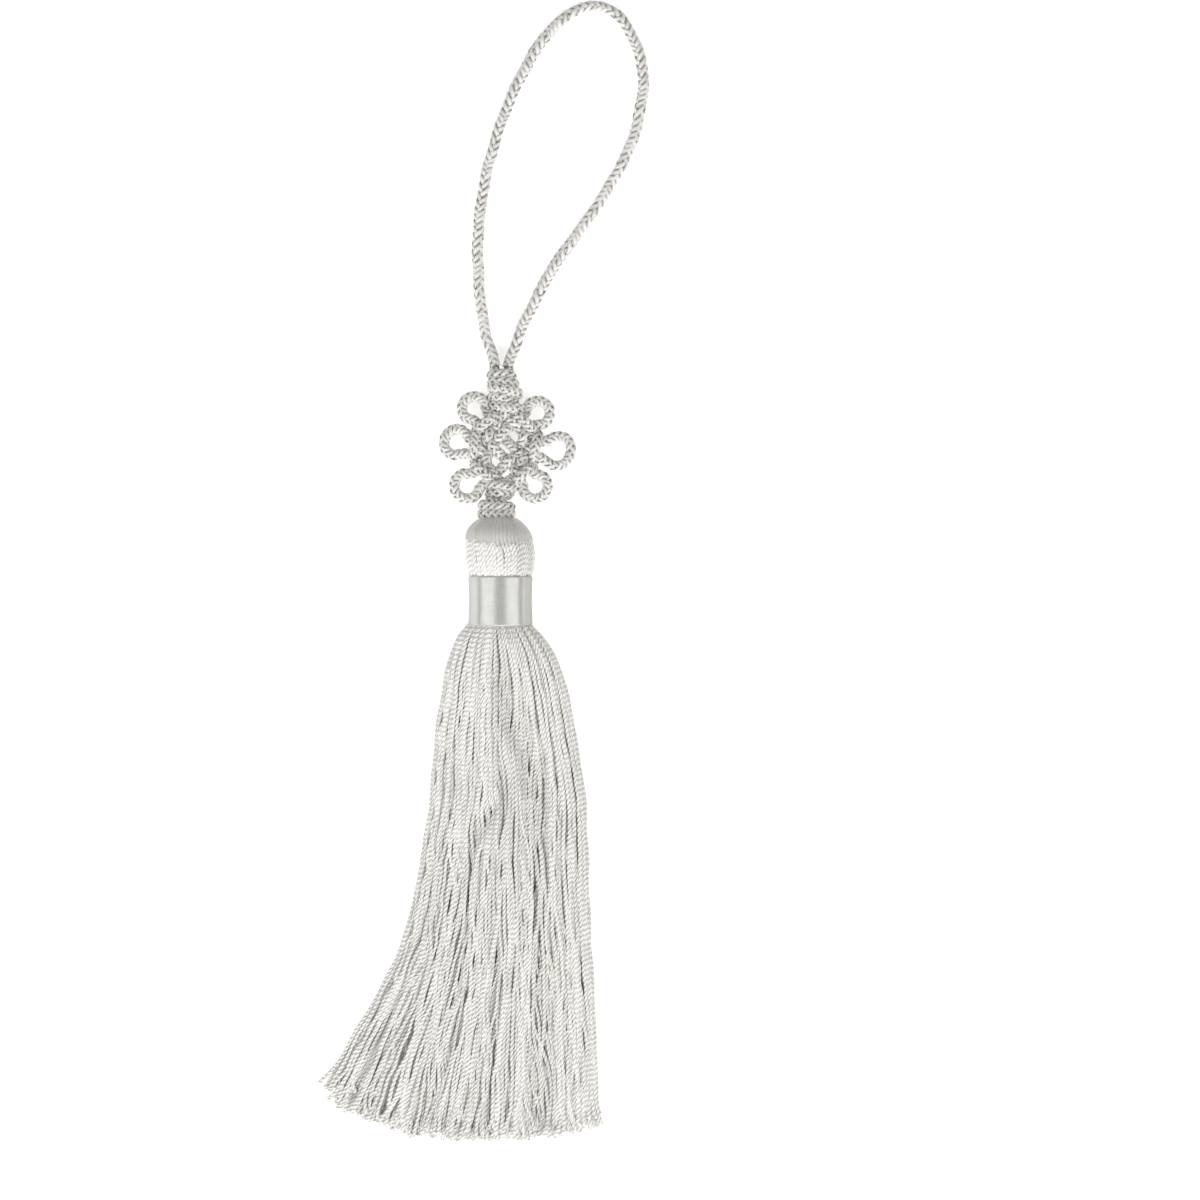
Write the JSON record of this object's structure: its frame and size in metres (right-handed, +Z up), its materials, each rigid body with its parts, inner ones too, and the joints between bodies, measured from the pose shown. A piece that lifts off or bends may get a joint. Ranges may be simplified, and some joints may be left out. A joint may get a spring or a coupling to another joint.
{
  "type": "norigae tassel with a knotted hanging cord",
  "caption": "Silk tassel with a folded yarn head, satin band and long fringe, hung from a braided cord that makes a petalled flower knot and a loop.",
  "frame": {"origin": "on the surface that the tassel lies on, under the middle of the tassel's head, in the head's flat spot", "axes": "+Y from the fringe towards the hanging loop, +Z up from the surface, +X to the right as seen from above"},
  "size_m": [0.068, 0.2386, 0.0143],
  "materials": {
    "yarn": "soft sheen of plied silver-white rayon thread",
    "band_winding": "satin sheen of close fine winding",
    "cord": "soft sheen of braided silver-white silk cord"
  },
  "bodies": {
    "root": {"tassel_skein": "yarn", "band": "band_winding", "lower_knot": "cord", "flower_knot": "cord", "upper_knot": "cord", "hanging_loop": "cord"}
  },
  "joints": []
}
